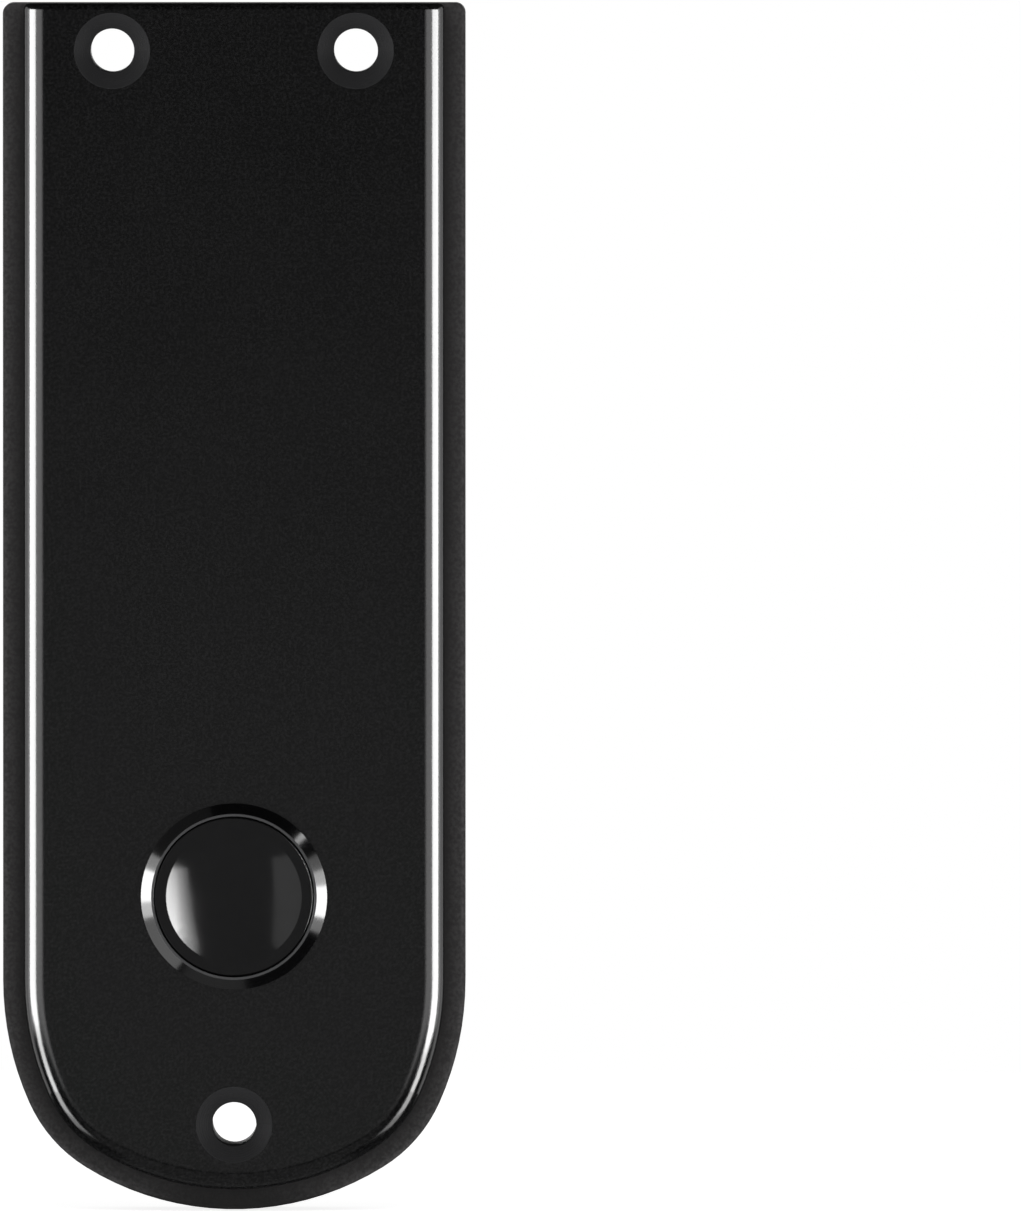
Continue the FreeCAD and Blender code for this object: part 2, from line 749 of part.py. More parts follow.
def pieces():
    sides = (-1, 1)
    return {
        "front_cover": front_cover(),
        "base_housing": base_housing(),
        "cover_gasket": cover_gasket(),
        "wall_gasket": wall_gasket(),
        "rear_cover": rear_cover(),
        "rear_cover_gasket": rear_cover_gasket(),
        "rear_cover_screws": [rear_cover_screw(at) for at in POSTS],
        "screw_plugs": [screw_plug(at) for at in POSTS],
        "button_bezel": button_bezel(),
        "bezel_gasket": bezel_gasket(),
        "bezel_nut": bezel_nut(),
        "button_cap": button_cap(),
        "button_seal_ring": button_seal_ring(),
        "button_clip": button_clip(),
        "return_spring": return_spring(),
        "switch_base": switch_base(),
        "switch_frame": switch_frame(),
        "switch_dome": switch_dome(),
        "switch_plunger": switch_plunger(),
        "switch_contacts": [switch_contact(side, end) for side in sides for end in sides],
        "battery_lid": battery_lid(),
        "lid_seal_ring": lid_seal_ring(),
        "coin_cell": coin_cell(),
        "battery_holder": battery_holder(),
        "negative_contact": negative_contact(),
        "positive_contact": positive_contact(),
        "circuit_board": circuit_board(),
        "radio_board": radio_board(),
        "radio_shield": radio_shield(),
        "controller_chip": controller_chip(),
        "chip_pins": chip_pins(),
        "crystal": crystal(),
        "capacitors": capacitors(),
        "resistors": resistors(),
        "antenna_coil": antenna_coil(),
    }


def main():
    os.makedirs("parts", exist_ok=True)
    for name, made in pieces().items():
        solids = [stand_up(solid) for solid in solids_of(made)]
        valid = all(solid.isValid() and solid.Volume > 0 for solid in solids)
        Part.makeCompound(solids).exportStep(f"parts/{name}.step")
        volume = sum(solid.Volume for solid in solids)
        print(f"{name:20s} {len(solids):3d} solids {volume:9.1f} mm3 {'ok' if valid else 'NOT VALID'}")


main()
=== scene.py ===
# %% [markdown]
# # A slim doorbell push, finished in Blender
#
# The doorbell is a plate for a door frame: a matte case against the wall, a raised black cover on
# it with rounded long edges, and a dished button in a bevelled ring low down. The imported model
# already has every piece at its real size, so this file only adds what the eye needs: finishes, a
# studio and a camera. Lengths are in metres, +Z is up and the face looks towards -Y.

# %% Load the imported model
import json
import math

import bpy
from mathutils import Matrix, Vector


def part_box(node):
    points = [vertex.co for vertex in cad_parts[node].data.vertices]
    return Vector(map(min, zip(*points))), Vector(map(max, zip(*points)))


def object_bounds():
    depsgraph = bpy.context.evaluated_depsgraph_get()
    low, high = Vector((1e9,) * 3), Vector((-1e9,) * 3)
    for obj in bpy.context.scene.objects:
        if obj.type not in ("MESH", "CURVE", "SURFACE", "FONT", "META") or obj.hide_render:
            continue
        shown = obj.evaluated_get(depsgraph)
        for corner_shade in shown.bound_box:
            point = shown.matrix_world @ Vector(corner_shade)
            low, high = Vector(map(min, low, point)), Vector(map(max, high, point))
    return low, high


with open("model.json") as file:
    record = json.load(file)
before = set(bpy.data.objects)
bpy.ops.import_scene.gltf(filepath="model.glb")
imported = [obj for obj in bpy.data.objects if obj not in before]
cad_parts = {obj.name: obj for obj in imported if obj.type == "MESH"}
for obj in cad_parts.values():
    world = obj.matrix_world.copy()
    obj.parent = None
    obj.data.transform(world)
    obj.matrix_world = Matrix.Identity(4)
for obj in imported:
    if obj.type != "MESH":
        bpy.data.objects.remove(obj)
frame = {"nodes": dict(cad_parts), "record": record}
cad_low, cad_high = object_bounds()
MM = 0.001
size_mm = [round((high - low) / MM, 1) for low, high in zip(cad_low, cad_high)]
print("pieces:", len(frame["nodes"]), "size in mm:", size_mm)

# %% [markdown]
# ## Landmarks
#
# Finishes change at real places: round the screw holes, round the button and round the battery
# lid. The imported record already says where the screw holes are, and a round piece's box gives its
# middle and radius, so nothing is measured twice.

# %% Find the round features
def middle_of(node):
    """The middle of a piece's box."""
    low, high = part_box(node)
    return [(start + end) / 2 for start, end in zip(low, high)]


def radius_of(node):
    """Half the width of a round piece."""
    low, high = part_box(node)
    return (high[0] - low[0]) / 2


mounts = {mount["name"]: mount for mount in frame["record"]["mounts"]}
pair_centre = mounts["top_screw_holes"]["pos_m"]
half_pitch = mounts["top_screw_holes"]["dims"]["spacing_x_mm"] / 2 * MM
foot_hole = mounts["tip_screw_hole"]["pos_m"]
screw_holes = [
    (-half_pitch, pair_centre[2]),
    (half_pitch, pair_centre[2]),
    (foot_hole[0], foot_hole[2]),
]
button = middle_of("button_cap")
lid = middle_of("battery_lid")
foot_z = cad_low[2]
print("screw holes:", screw_holes, "button:", button, "lid:", lid)

# %% [markdown]
# ## Camera
#
# The doorbell is looked at almost straight on, from far away and through a long lens, so its
# sides stay parallel. The camera looks down a very little, so the lower wall of each screw hole
# shows as a sliver. The sensor's width is its long side, which stands upright here. The frame is
# almost as tall as the doorbell, and the doorbell stands in its left half: the camera is moved to
# the right by the distance that the doorbell stands off the middle. Moving the camera keeps the
# lens free of shift.

# %% Place the camera
WIDTH_TO_HEIGHT = 1021 / 1212
FRAME_TO_HEIGHT = 1.0045
LEFT_MARGIN = 0.0003
CAMERA_DISTANCE = 4.0
OUTLINE_Y = -7.5 * MM
SENSOR_LONG_SIDE = 36
LOOK_DOWN = math.radians(1.5)

height = cad_high[2] - cad_low[2]
frame_height = height * FRAME_TO_HEIGHT
frame_width = frame_height * WIDTH_TO_HEIGHT
camera_right = frame_width / 2 - LEFT_MARGIN - (cad_high[0] - cad_low[0]) / 2
outline_distance = CAMERA_DISTANCE + OUTLINE_Y

camera_data = bpy.data.cameras.new("camera")
camera_data.sensor_width = SENSOR_LONG_SIDE
camera_data.lens = camera_data.sensor_width * outline_distance / frame_height
camera_data.clip_start = 0.05
camera_data.clip_end = 20
camera = bpy.data.objects.new("camera", camera_data)
bpy.context.collection.objects.link(camera)
camera.location = (camera_right, -CAMERA_DISTANCE, outline_distance * math.tan(LOOK_DOWN))
camera.rotation_euler = (math.radians(90) - LOOK_DOWN, 0, 0)
bpy.context.scene.camera = camera
print("lens mm:", round(camera_data.lens), "camera at", [round(v, 4) for v in camera.location])

# %% [markdown]
# ## World
#
# Black gloss shows only what it reflects. So the world is white where the camera sees it
# directly, and dim for every reflected ray: nearly black above, a little lighter below, as over a
# pale table in a dark room. The light path node tells the two apart. Diffuse rays get an even
# grey of their own. A panorama of a real studio could do this too, but three greys are easier to
# change and leave nothing stray in the gloss.

# %% Build the world
def node_at(tree, kind, **values):
    """Adds a node and sets its inputs and properties by name."""
    node = tree.nodes.new(kind)
    for name, value in values.items():
        if name in node.inputs:
            node.inputs[name].default_value = value
        else:
            setattr(node, name, value)
    return node


def ranged(tree, value, low, high, start=0.0, end=1.0):
    """Moves a value between start and end to between low and high, and holds it there beyond."""
    node = node_at(tree, "ShaderNodeMapRange")
    for name, number in (("From Min", start), ("From Max", end), ("To Min", low), ("To Max", high)):
        node.inputs[name].default_value = number
    tree.links.new(value, node.inputs["Value"])
    return node.outputs["Result"]


DARK_ABOVE, DARK_BELOW, MATTE_GREY = 0.015, 0.03, 0.24
STRAIGHT_DOWN, JUST_ABOVE_LEVEL = -1.0, 0.3
world = bpy.data.worlds.new("studio")
bpy.context.scene.world = world
world.use_nodes = True
tree = world.node_tree
tree.nodes.clear()
path = node_at(tree, "ShaderNodeLightPath")
direction = node_at(tree, "ShaderNodeTexCoord")
split = node_at(tree, "ShaderNodeSeparateXYZ")
seen = node_at(tree, "ShaderNodeBackground", Strength=1.0, Color=(1, 1, 1, 1))
reflected = node_at(tree, "ShaderNodeBackground", Color=(1, 1, 1, 1))
bounced = node_at(tree, "ShaderNodeBackground", Strength=MATTE_GREY, Color=(1, 1, 1, 1))
glossy_or_not = node_at(tree, "ShaderNodeMixShader")
camera_or_not = node_at(tree, "ShaderNodeMixShader")
output = node_at(tree, "ShaderNodeOutputWorld")
tree.links.new(direction.outputs["Generated"], split.inputs[0])
gloss_grey = ranged(tree, split.outputs["Z"], DARK_BELOW, DARK_ABOVE, STRAIGHT_DOWN,
                    JUST_ABOVE_LEVEL)
tree.links.new(gloss_grey, reflected.inputs["Strength"])
tree.links.new(path.outputs["Is Glossy Ray"], glossy_or_not.inputs[0])
tree.links.new(bounced.outputs[0], glossy_or_not.inputs[1])
tree.links.new(reflected.outputs[0], glossy_or_not.inputs[2])
tree.links.new(path.outputs["Is Camera Ray"], camera_or_not.inputs[0])
tree.links.new(glossy_or_not.outputs[0], camera_or_not.inputs[1])
tree.links.new(seen.outputs[0], camera_or_not.inputs[2])
tree.links.new(camera_or_not.outputs[0], output.inputs["Surface"])
bpy.context.scene.view_settings.view_transform = "Standard"
print("world for gloss: above", DARK_ABOVE, "below", DARK_BELOW)

# %% [markdown]
# ## Lights
#
# Each soft box is an area light aimed at the doorbell. Some light only the gloss and some light
# only the matte plastic, as flags do in a studio: a light can be hidden from diffuse or from
# glossy rays, and it can be kept to some of the pieces. Brightness is given as radiance, how
# bright the box itself looks, and the power that Blender wants is that times pi times the box's
# area. Then a box can grow or move without looking brighter in the gloss.

# %% Make soft boxes
GLOSSY_FRONT = ("front_cover", "button_bezel")
COVER = ("front_cover",)
MATTE_CASE = ("base_housing", "rear_cover", "battery_lid", "screw_plugs", "wall_gasket")


def soft_box(name, side, rise, distance, width, tall, radiance, lights="both", aim=(0, 0, 0),
             only=(), tilt=0):
    """An area light at an angle to the right of the camera and above it, in degrees.

    When only names some pieces, the light reaches no others."""
    data = bpy.data.lights.new(name, "AREA")
    data.shape = "RECTANGLE"
    data.size = width
    data.size_y = tall
    data.energy = radiance * math.pi * width * tall
    box = bpy.data.objects.new(name, data)
    bpy.context.collection.objects.link(box)
    across = math.radians(side)
    up = math.radians(rise)
    flat = math.cos(up)
    away = Vector((math.sin(across) * flat, -math.cos(across) * flat, math.sin(up)))
    box.location = Vector(aim) + away * distance
    box.rotation_euler = away.to_track_quat("Z", "Y").to_euler()
    box.rotation_euler.rotate_axis("Z", math.radians(tilt))
    box.visible_camera = False
    box.visible_diffuse = lights in ("both", "matte")
    box.visible_glossy = lights in ("both", "gloss")
    if only:
        receivers = bpy.data.collections.new(name + "_lights")
        for node in only:
            receivers.objects.link(frame["nodes"][node])
        box.light_linking.receiver_collection = receivers
    return box


# name, side, rise, distance, width, tall, radiance
soft_box("key_left", -48, -24, 0.7, 0.40, 0.5, 6.4, "matte")
soft_box("fill_top", 5, 50, 0.7, 0.35, 0.5, 2.6, "matte")
soft_box("fill_right", 55, 5, 0.8, 0.3, 0.5, 2.4, "matte", only=MATTE_CASE)
soft_box("table_glow", 0, -10.5, 1.42, 0.9, 0.5, 0.27, "gloss", only=GLOSSY_FRONT)
soft_box("back_left", -150, 20, 0.7, 0.4, 0.5, 4.0, "both", only=MATTE_CASE)
soft_box("back_right", 150, 10, 0.8, 0.4, 0.5, 3.0, "both", only=MATTE_CASE)
print("lights for the whole doorbell:", len(bpy.data.lights))

# %% [markdown]
# ## Strips beside the cover
#
# A rounded edge shows the whole room squeezed into a thin line, from straight ahead on its inner
# side to far behind on its outer side. So the bright line down each long edge is one narrow box
# beside the doorbell, the greyer shoulder inside it is a dim panel nearer the camera, and the
# grey outside it is a dim wing further back. Three weaker boxes low on each side carry the line
# round into the foot, where it fades out. Two dim boxes below keep the foot's edge as grey as the
# flat face.

# %% Light the rounded edges
STRIP_DISTANCE = 0.5
sides = (("left", -1, (0, 0, 0)), ("right", 1, (0, 0, -0.04)))
low_boxes = ((-16, 0.14, 15.0), (-29, 0.12, 9.0), (-41, 0.10, 3.5))
foot_boxes = ((-48, 0.44, 0.17), (-95, 0.40, 0.15))
above_foot = (0, 0, foot_z / 2)
foot = (0, 0, foot_z)
for hand, sign, middle in sides:
    soft_box("strip_" + hand, sign * 67, 0, STRIP_DISTANCE, 0.35, 0.25, 24, "gloss", middle, COVER)
    soft_box("panel_" + hand, sign * 30, 0, 0.8, 0.46, 0.30, 2.9, "gloss", only=COVER)
    soft_box("shade_" + hand, sign * 95, 0, 0.6, 0.22, 0.34, 2.6, "gloss", only=COVER)
    soft_box("wing_" + hand, sign * 119, 0, 0.6, 0.28, 0.60, 1.0, "gloss", only=COVER)
    for rise, tall, radiance in low_boxes:
        soft_box(f"low_{hand}_{-rise}", sign * 65, rise, STRIP_DISTANCE, 0.20, tall, radiance,
                 "gloss", above_foot, COVER)
for rise, tall, radiance in foot_boxes:
    soft_box(f"foot_glow_{-rise}", 0, rise, 0.5, 0.5, tall, radiance, "gloss", foot, COVER)
print("strips at", STRIP_DISTANCE, "m, low boxes:", len(low_boxes), "foot boxes:", len(foot_boxes))

# %% [markdown]
# ## Lights for the button
#
# The dish in the button is a shallow mirror, so it shows a narrow slice of the room, and it turns
# that slice round: its left side shows a box on the right. Boxes side by side, each brighter than
# the last, make a crescent that fades inwards, and one dim box on the left makes the fainter
# crescent opposite.
#
# The ring's bevel is a cone that looks almost sideways, so round the clock it shows one slice of
# the room after another. Its table gives each slice's direction, its height in degrees and its
# radiance: bright at both sides, softer above and below them, faint low on the left and black
# elsewhere.

# %% Light the button
DISH_DISTANCE = 0.5


def span(degrees):
    """The width of a box that fills an angle seen from the button."""
    return 2 * DISH_DISTANCE * math.tan(math.radians(degrees / 2))


CAP, RING = ("button_cap",), ("button_bezel",)
WIDEST_SLICE = 24
SLICE_OVERLAP = 4
crescent_steps = [
    (17.5, 19.5, 2.6), (19.5, 21.5, 5.5), (21.5, 23, 9.0), (23, 24.7, 14.0), (24.7, 31, 21.0),
]
for start, end, radiance in crescent_steps:
    soft_box(f"dish_right_{start}", (start + end) / 2, 4, DISH_DISTANCE, span(end - start), 0.33,
             radiance, "gloss", button, CAP, 8)
soft_box("dish_left", -23, 0, DISH_DISTANCE, span(11), 0.34, 0.6, "gloss", button, CAP)
soft_box("dish_front", 0, 0, DISH_DISTANCE, 0.6, 0.6, 0.19, "gloss", button, CAP)
ring_slices = [
    (79, -5, 20, 18), (79, 10, 10, 6), (79, -20, 10, 2.6), (79, 20, 10, 1.3), (76, 39, 4, 6),
    (-79, 5, 20, 18), (-79, -10, 10, 8), (-79, 20, 10, 3.2), (-78, -33, 37, 1.5),
    (-53, -71, 50, 0.25), (-72, 47, 48, 0.08),
]
for side, rise, tall, radiance in ring_slices:
    wide = min(WIDEST_SLICE, tall + SLICE_OVERLAP)
    soft_box(f"ring_{side}_{rise}", side, rise, DISH_DISTANCE, span(wide), span(tall), radiance,
             "gloss", button, RING)
print("button lights:", len(crescent_steps) + 2, "for the dish,", len(ring_slices), "for the ring")

# %% [markdown]
# ## Floor
#
# A pale disc lies just under the foot and catches its faint shadow. It glows a little, so that it
# stays as pale as the background, and gloss doesn't reflect it, or its edge would draw a line
# round the foot. A square would do as well, but a disc has no corner to show from the side.

# %% Make the floor
FLOOR_CORNERS = 96
FLOOR_GLOW = 0.85
FLOOR_GAP = 0.1 * MM
floor_data = bpy.data.meshes.new("floor")
floor_radius = 3 * height
floor_z = foot_z - FLOOR_GAP
turns = [2 * math.pi * n / FLOOR_CORNERS for n in range(FLOOR_CORNERS)]
rim = [(floor_radius * math.cos(turn), floor_radius * math.sin(turn), floor_z) for turn in turns]
floor_data.from_pydata(rim, [], [range(len(rim))])
floor = bpy.data.objects.new("floor", floor_data)
bpy.context.collection.objects.link(floor)
floor.visible_glossy = False
floor_finish = bpy.data.materials.new("pale_floor")
floor_finish.use_nodes = True
floor_shader = floor_finish.node_tree.nodes["Principled BSDF"]
floor_shader.inputs["Base Color"].default_value = (0.85, 0.85, 0.85, 1)
floor_shader.inputs["Roughness"].default_value = 0.9
floor_shader.inputs["Emission Color"].default_value = (1, 1, 1, 1)
floor_shader.inputs["Emission Strength"].default_value = FLOOR_GLOW
floor_data.materials.append(floor_finish)
print("floor at", round(floor_z, 4))

# %% [markdown]
# ## Noise, colour and normals
#
# The grain, the drift of colour and the rubbed edges of a real surface could be painted as
# images. Noise needs no unwrapping and stays sharp from close up, so it is used here. It lives in
# the piece's own space, measured in millimetres, so a lump of grain has its real size. Noise
# seldom comes near 0 or 1, so each use stretches the part of its range where it does most of its
# work.
#
# Real edges are never quite sharp. The bevel node rounds the normal near an edge without changing
# the mesh, and where that normal differs from the true one there is an edge, which makes a mask
# for wear.

# %% Make noise, colour and normals
EDGE_MATCH = (0.85, 0.99)


def lumps(tree, size, detail=2.0, stretch=(1, 1, 1)):
    """Noise from 0 to 1, with lumps of a size in millimetres."""
    place = node_at(tree, "ShaderNodeTexCoord")
    shaped = node_at(tree, "ShaderNodeMapping", Scale=stretch)
    noise = node_at(tree, "ShaderNodeTexNoise", Scale=1 / (size * MM), Detail=detail)
    tree.links.new(place.outputs["Object"], shaped.inputs["Vector"])
    tree.links.new(shaped.outputs["Vector"], noise.inputs["Vector"])
    return noise.outputs["Fac"]


def mixed(tree, mask, first, second):
    """Two colours mixed by a mask: first where it is 0, second where it is 1."""
    node = node_at(tree, "ShaderNodeMix", data_type="RGBA")
    tree.links.new(mask, node.inputs[0])
    for socket, colour in ((node.inputs[6], first), (node.inputs[7], second)):
        if isinstance(colour, bpy.types.NodeSocket):
            tree.links.new(colour, socket)
        else:
            socket.default_value = (*colour, 1)
    return node.outputs[2]


def rounded_normal(tree, reach):
    """The normal with every edge rounded over a reach in millimetres, and a mask of those edges."""
    rounded = node_at(tree, "ShaderNodeBevel", samples=4, Radius=reach * MM)
    true = node_at(tree, "ShaderNodeNewGeometry")
    match = node_at(tree, "ShaderNodeVectorMath", operation="DOT_PRODUCT")
    tree.links.new(rounded.outputs[0], match.inputs[0])
    tree.links.new(true.outputs["Normal"], match.inputs[1])
    return rounded.outputs[0], ranged(tree, match.outputs["Value"], 1, 0, *EDGE_MATCH)


def grained(tree, normal, height, depth):
    """A normal tilted by a height from 0 to 1 that stands for a depth in millimetres."""
    bump = node_at(tree, "ShaderNodeBump", Distance=depth * MM)
    tree.links.new(height, bump.inputs["Height"])
    tree.links.new(normal, bump.inputs["Normal"])
    return bump.outputs[0]


print("edges are where the normals match less than", EDGE_MATCH[1])

# %% [markdown]
# ## One maker for every finish
#
# No real surface is one flat colour. Each finish below starts from one shader and gets the same
# four things in its own measure: a slow drift of colour, a drift of roughness, a fine grain that
# tilts the surface, and edges that are slightly rounded and rubbed. Each material could be built
# by hand, but with one function they differ only where the real surfaces do, and each fits on two
# lines.

# %% Make the finish maker
DRIFT_RANGE = (0.3, 0.7)
SPECK_RANGE = (0.35, 0.65)
finishes = {}


def finish(slot, colour, roughness, metallic=0.0, index=1.5, drift=0.06, drift_size=9, grain=0.3,
           depth=0.006, edge=0.1, wear=1.5, stretch=(1, 1, 1), spread=0.05, speckle=0.1):
    """A material with drifting colour and roughness, a speckled grain and rubbed edges.

    The sizes drift_size, grain, depth and edge are in millimetres. The measures drift, spread and
    speckle are the share of change either way, and wear is how many times lighter an edge is."""
    made = bpy.data.materials.new(slot)
    made.use_nodes = True
    tree = made.node_tree
    shader = tree.nodes["Principled BSDF"]
    shader.inputs["Metallic"].default_value = metallic
    shader.inputs["IOR"].default_value = index
    slow = lumps(tree, drift_size, 3.0)
    normal, rubbed = rounded_normal(tree, edge)
    darker = [c * (1 - drift) for c in colour]
    lighter = [c * (1 + drift) for c in colour]
    drifting = mixed(tree, ranged(tree, slow, 0, 1, *DRIFT_RANGE), darker, lighter)
    fine = lumps(tree, 2 * grain, 1.0, stretch)
    speckled = node_at(tree, "ShaderNodeHueSaturation")
    specks = ranged(tree, fine, 1 - speckle, 1 + speckle, *SPECK_RANGE)
    tree.links.new(specks, speckled.inputs["Value"])
    tree.links.new(drifting, speckled.inputs["Color"])
    worn = mixed(tree, rubbed, speckled.outputs[0], [min(c * wear, 1) for c in colour])
    tree.links.new(worn, shader.inputs["Base Color"])
    patchy = ranged(tree, slow, roughness + spread, roughness - spread, *DRIFT_RANGE)
    tree.links.new(patchy, shader.inputs["Roughness"])
    rough_face = grained(tree, normal, lumps(tree, grain, 2.0, stretch), depth)
    tree.links.new(rough_face, shader.inputs["Normal"])
    finishes[slot] = made
    return tree, shader


# %% [markdown]
# ## The case
#
# The case is injection-moulded in dark grey plastic. Its mould was spark eroded, which leaves a
# fine matte grain all over, even inside the groove and the pockets. The grain is small and
# shallow, and the edges catch a little more light than the faces. An occlusion mask paints shade
# into the colour wherever the case lies in a corner or recess, most of all on the skirt beside the
# raised cover. The grain could be modelled, but it is far finer than the mesh, so here it only
# tilts the normal.

# %% Finish the case
CASE_GREY = (0.051, 0.0488, 0.0493)
CORNER_SHADE_GREY = (0.017, 0.016, 0.016)
SHADE_REACH = 3 * MM
SHADE_RANGE = (0.45, 0.95)
tree, case_shader = finish("case_plastic", CASE_GREY, 0.66, drift=0.05, grain=0.16, depth=0.012,
                           edge=0.14, wear=1.3, speckle=0.28)
# Painted shade: the occlusion mask darkens the case's colour in corners and recesses, most of all
# on the skirt beside the cover.
corner_shade = node_at(tree, "ShaderNodeAmbientOcclusion", Distance=SHADE_REACH, samples=8)
unshaded_colour = case_shader.inputs["Base Color"].links[0].from_socket
unshaded = ranged(tree, corner_shade.outputs["AO"], 0, 1, *SHADE_RANGE)
painted_shade = mixed(tree, unshaded, CORNER_SHADE_GREY, unshaded_colour)
tree.links.new(painted_shade, case_shader.inputs["Base Color"])
print("case finish made")

# %% [markdown]
# ## Round marks
#
# Some marks go round: the edge of a countersink, the lines that a cutter or a lathe leaves, and
# the rubbed lip of the ring. All follow from how far a point is from an axis out of the wall. A
# texture could be fitted to each circle, but a distance needs no fitting, and the same three
# functions serve all of them.

# %% Make round marks
def distance_from(tree, right, up):
    """How far a point is from a line out of the wall, in metres."""
    place = node_at(tree, "ShaderNodeTexCoord")
    offset = node_at(tree, "ShaderNodeVectorMath", operation="SUBTRACT")
    flat = node_at(tree, "ShaderNodeVectorMath", operation="MULTIPLY")
    length = node_at(tree, "ShaderNodeVectorMath", operation="LENGTH")
    offset.inputs[1].default_value = (right, 0, up)
    flat.inputs[1].default_value = (1, 0, 1)
    tree.links.new(place.outputs["Object"], offset.inputs[0])
    tree.links.new(offset.outputs[0], flat.inputs[0])
    tree.links.new(flat.outputs[0], length.inputs[0])
    return length.outputs["Value"]


def maths(tree, operation, first, second):
    """A maths node on a socket and a socket or number."""
    node = node_at(tree, "ShaderNodeMath", operation=operation)
    tree.links.new(first, node.inputs[0])
    if isinstance(second, bpy.types.NodeSocket):
        tree.links.new(second, node.inputs[1])
    else:
        node.inputs[1].default_value = second
    return node.outputs[0]


def rings(tree, distance, pitch):
    """Concentric lines from -1 to 1, a pitch in millimetres apart, as a lathe leaves."""
    phase = maths(tree, "MULTIPLY", distance, 2 * math.pi / (pitch * MM))
    return maths(tree, "SINE", phase, 0.0)


print("round marks ready for", len(screw_holes), "screw holes, the button and the lid")

# %% [markdown]
# ## The cover
#
# The cover is metal under a black satin lacquer. The lacquer is smooth enough to draw a bright,
# sharp strip of light down each rounded edge, and its fine texture breaks the strip's border into
# tiny steps. Fine flakes in it give the flat face its faint sparkle. The countersinks were cut
# after lacquering and blackened, so inside them the metal is dull and shows the cutter's rings.
# Two shaders do this, and a mask of the three circles chooses between them.

# %% Finish the cover
LACQUER, FLAKE = (0.0016, 0.0016, 0.0017), (0.0085, 0.0085, 0.0088)
BLACKENED = (0.030, 0.030, 0.031, 1)
FLAKE_SIZE = 0.26
FLAKE_RANGE = (0.42, 0.68)
SINK_RADIUS, SINK_BORDER = 3.77, 0.03
CUTTER_PITCH, CUTTER_DEPTH = 0.22, 0.004
tree, lacquer = finish("cover_finish", LACQUER, 0.17, drift=0.10, drift_size=14, grain=0.11,
                       depth=0.0008, edge=0.08, wear=2.0, spread=0.012)
smooth_colour = lacquer.inputs["Base Color"].links[0].from_socket
flakes = ranged(tree, lumps(tree, FLAKE_SIZE, 1.0), 0, 1, *FLAKE_RANGE)
tree.links.new(mixed(tree, flakes, smooth_colour, FLAKE), lacquer.inputs["Base Color"])
sink_start, sink_end = SINK_RADIUS * MM, (SINK_RADIUS + SINK_BORDER) * MM
masks = [ranged(tree, distance_from(tree, x, z), 1, 0, sink_start, sink_end)
         for x, z in screw_holes]
inside_any = maths(tree, "MAXIMUM", maths(tree, "MAXIMUM", masks[0], masks[1]), masks[2])
distances = [distance_from(tree, x, z) for x, z in screw_holes]
nearest = maths(tree, "MINIMUM", maths(tree, "MINIMUM", distances[0], distances[1]), distances[2])
bare = node_at(tree, "ShaderNodeBsdfPrincipled", Metallic=0.0, Roughness=0.55)
bare.inputs["Base Color"].default_value = BLACKENED
bare.inputs["Specular IOR Level"].default_value = 0.015
plain_normal = node_at(tree, "ShaderNodeNewGeometry").outputs["Normal"]
cut = grained(tree, plain_normal, rings(tree, nearest, CUTTER_PITCH), CUTTER_DEPTH)
tree.links.new(cut, bare.inputs["Normal"])
chosen = node_at(tree, "ShaderNodeMixShader")
tree.links.new(inside_any, chosen.inputs[0])
tree.links.new(lacquer.outputs[0], chosen.inputs[1])
tree.links.new(bare.outputs[0], chosen.inputs[2])
tree.links.new(chosen.outputs[0], tree.nodes["Material Output"].inputs["Surface"])
print("cover finish made, bare within", SINK_RADIUS, "mm of each screw hole")

# %% [markdown]
# ## The button and its ring
#
# The button is gloss black plastic, polished in the mould, with a trace of handling that varies
# its gloss. The ring is black chrome: almost a mirror, but a dark one, so it goes from white to
# black with what stands in front of it. A slightly higher refractive index makes it reflect more.
# A thin pale line round the button is painted on its inner lip: a painted highlight of the light
# its rounded edge catches.

# %% Finish the button and ring
LIP_HIGHLIGHT_GREY = (0.06, 0.06, 0.062)
LIP_REACH, LIP_BORDER = 0.33 * MM, 0.04 * MM
finish("button_gloss", (0.0045, 0.0045, 0.0048), 0.10, drift=0.08, drift_size=5, grain=0.5,
       depth=0.0004, edge=0.10, wear=2.5, spread=0.02)
tree, ring_shader = finish("bezel_chrome", (0.0012, 0.0012, 0.0014), 0.13, index=1.62, drift=0.05,
                           drift_size=4, grain=0.4, depth=0.0002, edge=0.06, wear=3.0,
                           spread=0.02)
lip_radius = radius_of("button_cap") + LIP_REACH
from_middle = distance_from(tree, button[0], button[2])
# Painted highlight: the ring's inner lip gets a paler colour for the light its rounded edge
# catches.
lip_highlight = ranged(tree, from_middle, 1, 0, lip_radius, lip_radius + LIP_BORDER)
ring_colour = ring_shader.inputs["Base Color"].links[0].from_socket
tree.links.new(mixed(tree, lip_highlight, ring_colour, LIP_HIGHLIGHT_GREY), ring_shader.inputs["Base Color"])
print("button finishes made")

# %% [markdown]
# ## Rubber
#
# The wall gasket is a soft black cord pressed into the groove, and the four screw plugs are the
# same rubber, a little dustier. Rubber scatters almost all its light, so it is rough and nearly
# black. Its pores could be a bump of their own, but the common grain, made coarser and deeper,
# shows the same.

# %% Finish the rubber
finish("gasket_rubber", (0.0055, 0.0055, 0.0056), 0.78, drift=0.12, drift_size=3, grain=0.35,
       depth=0.012, edge=0.10, wear=1.3)
finish("plug_rubber", (0.0165, 0.0165, 0.0168), 0.66, drift=0.10, drift_size=2, grain=0.25,
       depth=0.010, edge=0.14, wear=1.6)
print("rubber finishes made")

# %% [markdown]
# ## The rear cover and battery lid
#
# The rear cover has a coarser spark-eroded texture than the case. The lid is a separate moulding
# of a smoother, lighter black. Its mould was turned on a lathe, so it keeps faint rings, and they
# stretch each light into a pale wedge from the middle to the rim, as on a record.

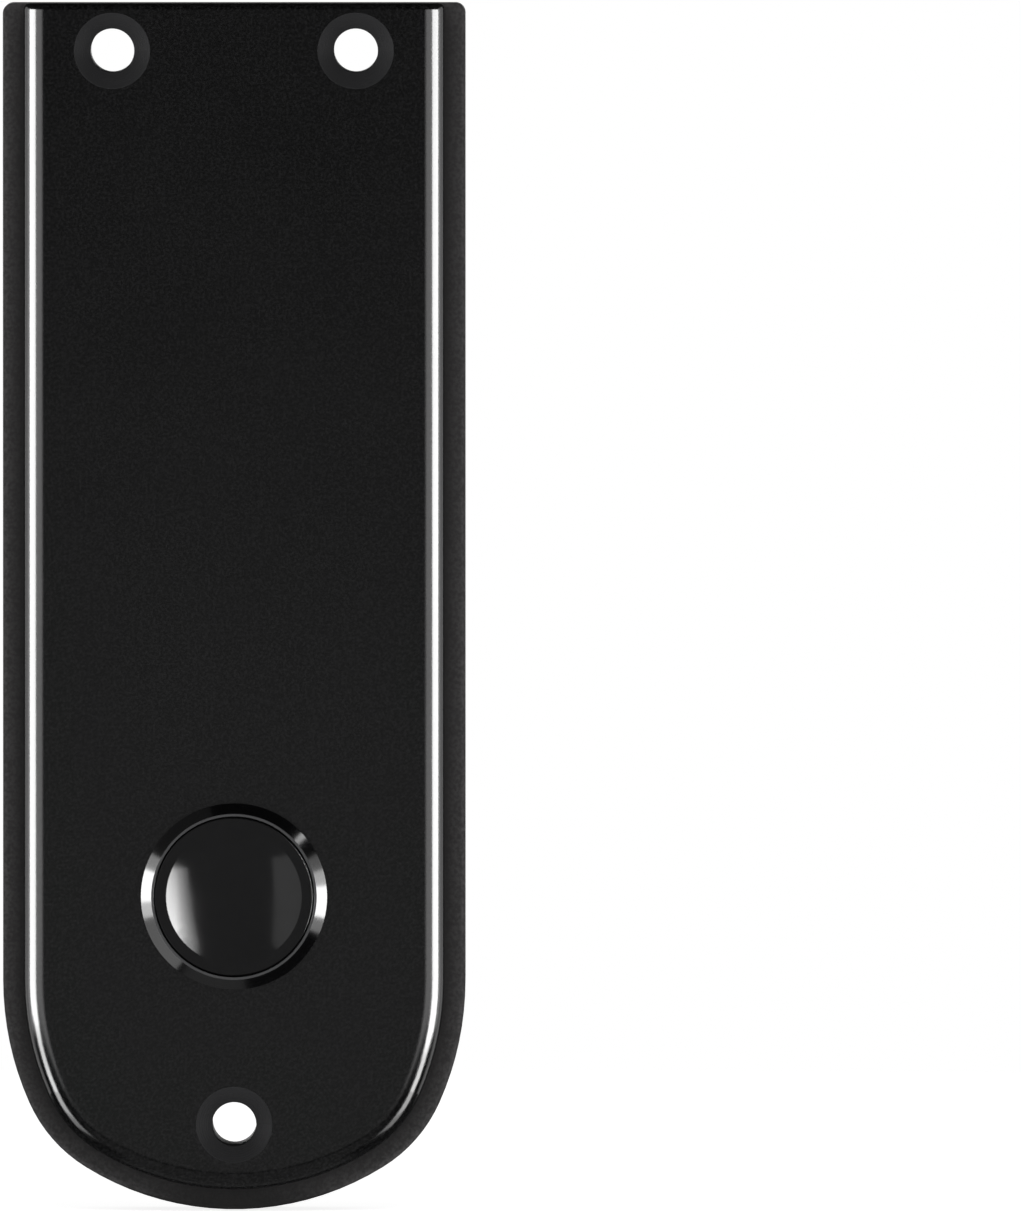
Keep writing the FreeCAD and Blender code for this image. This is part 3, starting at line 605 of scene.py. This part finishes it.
# %% Finish the rear cover and lid
LATHE_PITCH, LATHE_DEPTH = 0.16, 0.0012
finish("panel_plastic", (0.0125, 0.0125, 0.0127), 0.58, drift=0.10, drift_size=6, grain=0.40,
       depth=0.030, edge=0.14, wear=2.0)
tree, lid_shader = finish("lid_plastic", (0.027, 0.027, 0.0275), 0.36, drift=0.06, drift_size=8,
                          grain=0.3, depth=0.003, edge=0.12, wear=2.2)
turned = rings(tree, distance_from(tree, lid[0], lid[2]), LATHE_PITCH)
grain_normal = lid_shader.inputs["Normal"].links[0].from_socket
tree.links.new(grained(tree, grain_normal, turned, LATHE_DEPTH), lid_shader.inputs["Normal"])
print("rear finishes made")

# %% [markdown]
# ## Hidden metal
#
# Behind the cover are screws, springs, contacts and cans. Most are plated steel, bright but drawn
# or rolled, so their grain is stretched along one direction. The aluminium is softer and greyer,
# and the aerial is enamelled copper. Each has its own colour, gloss and direction of grain. A
# table holds what differs, and one loop does the rest.

# %% Finish the hidden metal
ALONG_X, ALONG_Z, EVEN = (0.15, 1, 1), (1, 1, 0.15), (1, 1, 1)
metals = {
    "nut_metal": ((0.58, 0.58, 0.59), 0.36, EVEN),
    "screw_steel": ((0.50, 0.50, 0.47), 0.33, EVEN),
    "clip_steel": ((0.28, 0.28, 0.29), 0.42, ALONG_X),
    "spring_steel": ((0.60, 0.59, 0.57), 0.28, EVEN),
    "switch_metal": ((0.62, 0.62, 0.61), 0.34, ALONG_X),
    "tinned_contact": ((0.70, 0.70, 0.70), 0.38, EVEN),
    "tinned_shield": ((0.64, 0.64, 0.63), 0.30, ALONG_Z),
    "cell_steel": ((0.66, 0.66, 0.64), 0.26, ALONG_X),
    "crystal_can": ((0.70, 0.69, 0.66), 0.25, ALONG_X),
    "capacitor_can": ((0.74, 0.74, 0.75), 0.32, EVEN),
    "antenna_wire": ((0.66, 0.34, 0.16), 0.24, EVEN),
}
for slot, (colour, roughness, stretch) in metals.items():
    finish(slot, colour, roughness, metallic=1.0, drift=0.05, drift_size=2.5, grain=0.12,
           depth=0.002, edge=0.08, wear=1.15, stretch=stretch)
print("metal finishes:", len(metals))

# %% [markdown]
# ## Hidden plastic and the board
#
# The board is glass laminate under green solder mask, whose weave shows as a faint grain. The
# chips are black epoxy, the switch body is filled nylon and its plunger is plain nylon, the
# colour of old ivory. The weave could be drawn square, but only its grain would show at this
# size.

# %% Finish the hidden plastic and the board
plastics = {
    "board_laminate": ((0.012, 0.085, 0.038), 0.32, 0.5),
    "chip_epoxy": ((0.018, 0.018, 0.020), 0.55, 0.2),
    "switch_plastic": ((0.014, 0.014, 0.015), 0.48, 0.25),
    "plunger_plastic": ((0.62, 0.58, 0.50), 0.45, 0.3),
}
for slot, (colour, roughness, grain) in plastics.items():
    finish(slot, colour, roughness, drift=0.08, drift_size=3, grain=grain, depth=0.006, edge=0.10,
           wear=1.3)
print("plastic finishes:", len(plastics))

# %% [markdown]
# ## Put the finishes on
#
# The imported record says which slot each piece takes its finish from. The material goes in the
# object's own slot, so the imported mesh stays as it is.

# %% Assign every finish
for subpart in frame["record"]["subparts"]:
    piece = frame["nodes"][subpart["node"]]
    if not piece.material_slots:
        piece.data.materials.append(None)
    for slot in piece.material_slots:
        slot.link = "OBJECT"
        slot.material = finishes[subpart["material_slot"]]
